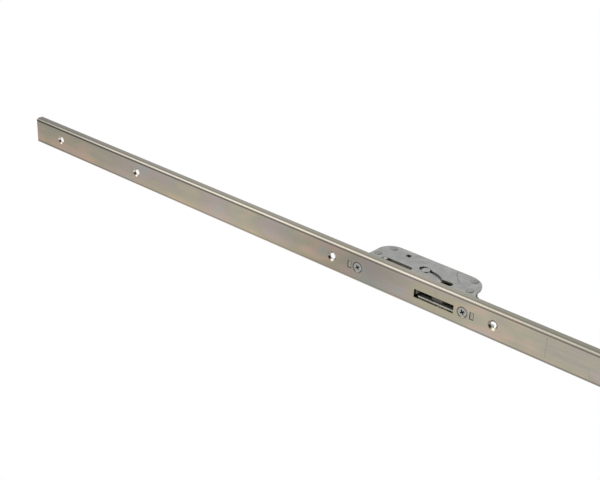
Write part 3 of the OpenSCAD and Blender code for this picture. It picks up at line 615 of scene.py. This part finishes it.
# Plain finishes: tones, grain direction and gloss of every other piece. The clouds, streaks and
# specks are cells per metre along X, Y and Z, so a low number is a long cell.
plainLooks = {
    "galvanisedCase": coverLook,
    "turnedRivet": {
        "clouds": (300.0, 300.0, 300.0),
        "tones": [(0.3, srgb(140, 141, 138)), (0.7, srgb(158, 159, 155))],
        "streaks": (1500.0, 500.0, 500.0), "specks": (2600.0, 2600.0, 2600.0),
        "streakShade": 0.05, "speckShade": 0.05,
        "rough": 0.50, "roughSpread": 0.06, "bump": 0.25, "bumpHeight": 0.00004},
    "blueZincScrew": {
        "clouds": (260.0, 260.0, 260.0),
        "tones": [(0.3, srgb(152, 154, 151)), (0.6, srgb(163, 164, 160)), (0.8, srgb(171, 171, 166))],
        "streaks": (900.0, 900.0, 900.0), "specks": (2500.0, 2500.0, 2500.0),
        "streakShade": 0.04, "speckShade": 0.04,
        "rough": 0.27, "roughSpread": 0.06, "bump": 0.2, "bumpHeight": 0.00003,
        "ringRadius": 0.0039, "ringWidth": 0.0005, "ringDark": 0.6, "ringDepth": 0.00003,
        "recessDepths": (0.0004, 0.0010), "recessShadowColour": srgb(84, 86, 98)},
    "groundPin": {
        "clouds": (200.0, 200.0, 200.0),
        "tones": [(0.3, srgb(176, 176, 174)), (0.7, srgb(196, 195, 192))],
        "streaks": (300.0, 2600.0, 2600.0), "specks": (3000.0, 3000.0, 3000.0),
        "streakShade": 0.05, "speckShade": 0.03,
        "rough": 0.28, "roughSpread": 0.07, "bump": 0.2, "bumpHeight": 0.00003},
    "yellowZincRod": {
        "clouds": (60.0, 60.0, 22.0),
        "tones": [(0.3, srgb(158, 150, 120)), (0.5, srgb(166, 155, 128)), (0.7, srgb(170, 152, 132))],
        "streaks": (800.0, 800.0, 8.0), "specks": (1500.0, 1500.0, 500.0),
        "streakShade": 0.05, "speckShade": 0.03,
        "rough": 0.34, "roughSpread": 0.06, "bump": 0.2, "bumpHeight": 0.00004},
    "rolledSlider": {
        "clouds": (90.0, 90.0, 40.0),
        "tones": [(0.3, srgb(172, 173, 168)), (0.7, srgb(188, 188, 183))],
        "streaks": (700.0, 1100.0, 60.0), "specks": (1800.0, 1800.0, 1800.0),
        "streakShade": 0.06, "speckShade": 0.04,
        "rough": 0.36, "roughSpread": 0.07, "bump": 0.25, "bumpHeight": 0.00004},
    "forgedHook": {
        "clouds": (120.0, 120.0, 120.0),
        "tones": [(0.3, srgb(74, 73, 68)), (0.6, srgb(88, 86, 80)), (0.8, srgb(100, 98, 90))],
        "streaks": (500.0, 500.0, 500.0), "specks": (2200.0, 2200.0, 2200.0),
        "streakShade": 0.06, "speckShade": 0.06,
        "rough": 0.40, "roughSpread": 0.08, "bump": 0.3, "bumpHeight": 0.00007},
    "nickelBolt": {
        "clouds": (80.0, 80.0, 50.0),
        "tones": [(0.3, srgb(182, 177, 166)), (0.7, srgb(196, 191, 180))],
        "streaks": (1200.0, 60.0, 1200.0), "specks": (2600.0, 2600.0, 2600.0),
        "streakShade": 0.04, "speckShade": 0.02,
        "rough": 0.22, "roughSpread": 0.05, "bump": 0.15, "bumpHeight": 0.00003},
    "castBrass": {
        "clouds": (140.0, 140.0, 140.0),
        "tones": [(0.3, srgb(184, 150, 92)), (0.7, srgb(204, 172, 112))],
        "streaks": (500.0, 500.0, 500.0), "specks": (2000.0, 2000.0, 2000.0),
        "streakShade": 0.05, "speckShade": 0.05,
        "rough": 0.36, "roughSpread": 0.07, "bump": 0.3, "bumpHeight": 0.00006},
    "sinteredGear": {
        "clouds": (220.0, 220.0, 220.0),
        "tones": [(0.3, srgb(112, 110, 106)), (0.7, srgb(134, 131, 126))],
        "streaks": (800.0, 800.0, 800.0), "specks": (3200.0, 3200.0, 3200.0),
        "streakShade": 0.05, "speckShade": 0.10,
        "rough": 0.44, "roughSpread": 0.08, "bump": 0.4, "bumpHeight": 0.00006},
    "springWire": {
        "clouds": (260.0, 260.0, 260.0),
        "tones": [(0.3, srgb(150, 150, 152)), (0.7, srgb(176, 176, 178))],
        "streaks": (1500.0, 1500.0, 1500.0), "specks": (3000.0, 3000.0, 3000.0),
        "streakShade": 0.05, "speckShade": 0.03,
        "rough": 0.25, "roughSpread": 0.05, "bump": 0.15, "bumpHeight": 0.00002},
    "mouldedKeeper": {
        "clouds": (120.0, 120.0, 120.0), "metallic": 0.0,
        "tones": [(0.3, srgb(38, 38, 40)), (0.7, srgb(50, 50, 52))],
        "streaks": (600.0, 600.0, 600.0), "specks": (2400.0, 2400.0, 2400.0),
        "streakShade": 0.08, "speckShade": 0.10,
        "rough": 0.52, "roughSpread": 0.08, "bump": 0.4, "bumpHeight": 0.00005},
}


def screwFinish(look):
    # Painted shadow: a dark ring in the groove round each head, and the recess painted dark towards
    # its bottom
    material, parts = metalFinish("blueZincScrew", look)
    tree, point = parts["tree"], parts["point"]
    screws = awayFromLines(tree, point, intoFace(railLook["screwHeights"]))
    ring = offBy(tree, screws, look["ringRadius"])
    markLines(parts, ring, look["ringWidth"], look["ringDark"], look["ringDepth"])
    # painted shadow towards the bottom of the cross recess
    deep = spread(tree, pointAxes(parts)[1], *shifted(look["recessDepths"], railFace), 0.0, 1.0)
    paint(parts, deep, look["recessShadowColour"])
    return material


nodeFinish = {
    "faceplate": "rail", "upper_case_cover": "upperCover", "lower_case_cover": "lowerCover",
    "upper_case_tray": "upperTray", "lower_case_tray": "lowerTray",
    "main_case_tray": "galvanisedCase", "main_case_cover": "galvanisedCase",
    "case_screws": "blueZincScrew", "rod_keepers": "mouldedKeeper",
    "upper_rod": "yellowZincRod", "lower_rod": "yellowZincRod", "drive_plate": "rolledSlider",
    "upper_case_rivets": "turnedRivet", "lower_case_rivets": "turnedRivet",
    "main_case_rivets": "turnedRivet",
    "upper_hook_pivot": "groundPin", "lower_hook_pivot": "groundPin",
    "upper_hook": "forgedHook", "lower_hook": "forgedHook",
    "upper_guide_pin": "upperGuidePin", "lower_guide_pin": "lowerGuidePin",
    "upper_slider": "rolledSlider", "lower_slider": "rolledSlider",
    "upper_slider_pin": "upperDrivePin", "lower_slider_pin": "lowerDrivePin",
    "follower": "castBrass", "latch_bolt": "nickelBolt", "latch_tail": "rolledSlider",
    "latch_spring": "springWire", "deadbolt": "nickelBolt", "deadbolt_pin": "groundPin",
    "drive_gear": "sinteredGear", "gear_stud": "groundPin",
}


def finishNodes():
    finishes = {name: metalFinish(name, look)[0]
                for name, look in plainLooks.items() if name != "blueZincScrew"}
    finishes["rail"] = railFinish(railLook)
    finishes["blueZincScrew"] = screwFinish(plainLooks["blueZincScrew"])
    for side, pivot in hookPivots.items():
        finishes[side + "Cover"] = coverFinish(side + "Cover", coverLook, pivot)
        finishes[side + "Tray"] = trayFinish(side + "Tray", trayLook, pivot)
        for kind, look in pinLooks.items():
            finishes[side + kind] = pinFinish(side + kind, look, pivot)
    for name, node in nodes.items():
        if not node.material_slots:
            node.data.materials.append(finishes[nodeFinish[name]])
        for place in node.material_slots:
            place.material = finishes[nodeFinish[name]]
    return finishes


# New pieces

def wrappedMesh(name, shells, material, sharp):
    # Each shell is rings of points (rows, sides, 3): neighbours along a ring and between rings
    # join into quads, and one point closes each end. Edges bent more than sharp stay crisp.
    points, faces, base = [], [], 0
    for rings, first, last in shells:
        rows, sides = rings.shape[:2]
        row = np.arange(rows - 1)[:, None] * sides
        here, there = np.arange(sides), (np.arange(sides) + 1) % sides
        quads = np.stack([row + here, row + there, row + sides + there, row + sides + here], -1)
        quads = quads.reshape(-1, 4)
        end = (rows - 1) * sides
        firstFan = np.stack([np.full(sides, rows * sides), there, here], -1)
        lastFan = np.stack([np.full(sides, rows * sides + 1), end + here, end + there], -1)
        points.append(np.concatenate([rings.reshape(-1, 3), [first], [last]]))
        faces += (quads + base).tolist() + (firstFan + base).tolist() + (lastFan + base).tolist()
        base += rows * sides + 2
    mesh = bpy.data.meshes.new(name)
    mesh.from_pydata(np.concatenate(points).tolist(), [], faces)
    shape = bmesh.new()
    shape.from_mesh(mesh)
    bmesh.ops.recalc_face_normals(shape, faces=shape.faces)
    shape.to_mesh(mesh)
    shape.free()
    mesh.polygons.foreach_set("use_smooth", np.ones(len(mesh.polygons), bool))
    mesh.set_sharp_from_angle(angle=math.radians(sharp))
    mesh.materials.append(material)
    piece = bpy.data.objects.new(name, mesh)
    bpy.context.scene.collection.objects.link(piece)
    return piece


springLook = {
    "front": -0.0299, "back": 0.002, "height": 0.03745,  # both ends along Y, and the axis along Z
    "coil": 0.0039, "wire": 0.0005,  # radii of the coil's middle line and of the wire
    "turns": 8.0, "closedTurns": 0.8, "easeTurns": 0.5,
    "closedPitch": 2.05,  # of the closed turns, as a multiple of the wire's radius
    "ringsPerTurn": 28, "sides": 12, "sharp": 40.0,
}


def latchSpring(look, material):
    # A wire carried along a helix about a line along Y. The pitch is small over the closed turns
    # at both ends and even between them: the way along the line is a small even pitch, plus the
    # running total of a weight that rises from zero on the closed turns to one between them.
    turn = np.linspace(0, look["turns"], int(look["turns"] * look["ringsPerTurn"]) + 1)
    fromEnd = np.minimum(turn, look["turns"] - turn)
    weight = np.clip((fromEnd - look["closedTurns"]) / look["easeTurns"], 0, 1)
    wirePitch = look["closedPitch"] * look["wire"]
    length = look["back"] - look["front"] - 2 * look["wire"]
    free = np.concatenate([[0], np.cumsum((weight[1:] + weight[:-1]) / 2 * np.diff(turn))])
    path = wirePitch * turn + (length - wirePitch * look["turns"]) * free / free[-1]
    angle = 2 * math.pi * turn
    middle = np.stack([look["coil"] * np.cos(angle), look["front"] + look["wire"] + path,
                       look["height"] + look["coil"] * np.sin(angle)], -1)
    outward = np.stack([np.cos(angle), 0 * angle, np.sin(angle)], -1)
    along = np.gradient(middle, axis=0)
    along /= np.linalg.norm(along, axis=1)[:, None]
    side = np.cross(along, outward)
    around = np.linspace(0, 2 * math.pi, look["sides"], endpoint=False)
    rings = middle[:, None] + look["wire"] * (outward[:, None] * np.cos(around)[None, :, None]
                                              + side[:, None] * np.sin(around)[None, :, None])
    piece = wrappedMesh("latchSpringWire", [(rings, middle[0], middle[-1])], material, look["sharp"])
    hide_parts("latch_spring")
    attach(piece, "lock_body")
    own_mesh(piece)


rivetLook = {
    "shank": 0.0016, "head": 0.0029, "headHeight": 0.0004, "sides": 48, "sharp": 50.0,
    # radius as a share of the head's, and height as a share of the head's height
    "profile": [(0.18, 0.80), (0.30, 0.84), (0.36, 0.98), (0.46, 1.0), (0.84, 0.97), (0.93, 0.80),
                (1.0, 0.45), (1.0, 0.0)],
    "dimple": 0.78,  # the height at the middle of the head, as the same share
    # of a hook unit: depth behind the face and height from the pivot, and half the case's thickness
    "unitPlaces": [(0.0201, 0.0484), (0.035, 0.0441), (0.0351, -0.0321), (0.0199, -0.0377)],
    "unitHalf": 0.0075,
    # of the main case: Y and Z
    "mainPlaces": [(0.011, 0.059), (-0.014, 0.060), (0.012, -0.076), (0.011, -0.126),
                   (-0.014, -0.127)],
    "mainHalf": 0.008,
}


def rivetGroup(name, node, places, half, look, material):
    # Each rivet is one profile turned about a line along X: a dimpled low dome, the shank
    # through the case, and the same dome the other way round
    dome = [(r * look["head"], half + h * look["headHeight"]) for r, h in look["profile"]]
    dome.append((look["shank"], half))
    profile = np.array(dome + [(r, -x) for r, x in reversed(dome)])
    around = np.linspace(0, 2 * math.pi, look["sides"], endpoint=False)
    tip = half + look["dimple"] * look["headHeight"]
    shells = []
    for y, z in places:
        rings = np.stack(np.broadcast_arrays(
            profile[:, 1][:, None], y + profile[:, 0][:, None] * np.cos(around),
            z + profile[:, 0][:, None] * np.sin(around)), -1)
        shells.append((rings, (tip, y, z), (-tip, y, z)))
    piece = wrappedMesh(name, shells, material, look["sharp"])
    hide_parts(node)
    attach(piece, "lock_body")


screwLook = {
    # radii: of the head, of its flat before the rim rounds, of the cone's end and of the shank
    "head": 0.0042, "flat": 0.0032, "neck": 0.00225, "shank": 0.002,
    # depths behind the face: of the top, its edge, the cone's end, the shank's start and the tip
    "topDepth": 0.00005, "edgeDepth": 0.00045, "headDepth": 0.0019, "shankDepth": 0.0021,
    "length": 0.01, "tipLength": 0.001, "tipShare": 0.55,
    "rimDrop": 0.00042,  # how far the top falls from the flat to the head's edge
    "topReach": 0.985,  # share of the head's radius that the top's grid covers
    "recess": 0.0015, "wing": 0.0022, "wingHalf": 0.00064, "wallSlope": 3.2, "endSlope": 2.2,
    "turn": 31.0,
    "rows": 34, "sides": 120, "sharp": 35.0,
}


def crossScrews(look, material):
    # The head's top is a depth over radius and angle: flat with a rounded rim, plus a cross
    # recess whose four wings have steep sides and sloping ends. Below it the same rings
    # run down the countersunk cone and the shank.
    around = np.linspace(0, 2 * math.pi, look["sides"], endpoint=False)
    radius = np.linspace(0, look["head"] * look["topReach"], look["rows"] + 1)[1:, None]
    across, up = radius * np.cos(around), radius * np.sin(around)
    turn = math.radians(look["turn"])
    a = np.abs(across * math.cos(turn) + up * math.sin(turn))
    b = np.abs(up * math.cos(turn) - across * math.sin(turn))
    wings = np.maximum(
        np.minimum((look["wingHalf"] - b) * look["wallSlope"], (look["wing"] - a) * look["endSlope"]),
        np.minimum((look["wingHalf"] - a) * look["wallSlope"], (look["wing"] - b) * look["endSlope"]))
    sink = np.clip(wings, 0, look["recess"])
    pastFlat = np.clip((radius - look["flat"]) / (look["head"] - look["flat"]), 0, 1)
    rim = pastFlat ** 2 * look["rimDrop"]
    top = np.stack(np.broadcast_arrays(across, railFace + look["topDepth"] + sink + rim, up), -1)
    # radius and depth down the cone, the shank and its tapered tip
    below = np.array([(look["head"], look["edgeDepth"]), (look["neck"], look["headDepth"]),
                      (look["shank"], look["shankDepth"]),
                      (look["shank"], look["length"] - look["tipLength"]),
                      (look["shank"] * look["tipShare"], look["length"])])
    body = np.stack(np.broadcast_arrays(
        below[:, 0][:, None] * np.cos(around), railFace + below[:, 1][:, None],
        below[:, 0][:, None] * np.sin(around)), -1)
    rings = np.concatenate([top, body])
    shells = []
    for height in railLook["screwHeights"]:
        middle = (0, railFace + look["topDepth"] + look["recess"], height)
        tip = (0, railFace + look["length"], height)
        shells.append((rings + np.array([0, 0, height]), middle, tip))
    piece = wrappedMesh("crossScrews", shells, material, look["sharp"])
    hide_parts("case_screws")
    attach(piece, "lock_body")


photoCamera(cameraLook)
paleRoom(roomLook)
softLamps(lampLook)
print("camera, room and lamps ready")

finishes = finishNodes()
print("finishes made:", len(finishes))

latchSpring(springLook, finishes["springWire"])
for side, pivot in hookPivots.items():
    unitPlaces = [unitPoint(0.0, place, pivot)[1:] for place in rivetLook["unitPlaces"]]
    rivetGroup(side + "UnitRivets", side + "_case_rivets", unitPlaces, rivetLook["unitHalf"],
               rivetLook, finishes["turnedRivet"])
rivetGroup("mainCaseRivets", "main_case_rivets", rivetLook["mainPlaces"], rivetLook["mainHalf"],
           rivetLook, finishes["turnedRivet"])
crossScrews(screwLook, finishes["blueZincScrew"])
print("spring, rivets and screws made")

bpy.context.scene.view_settings.view_transform = "Standard"
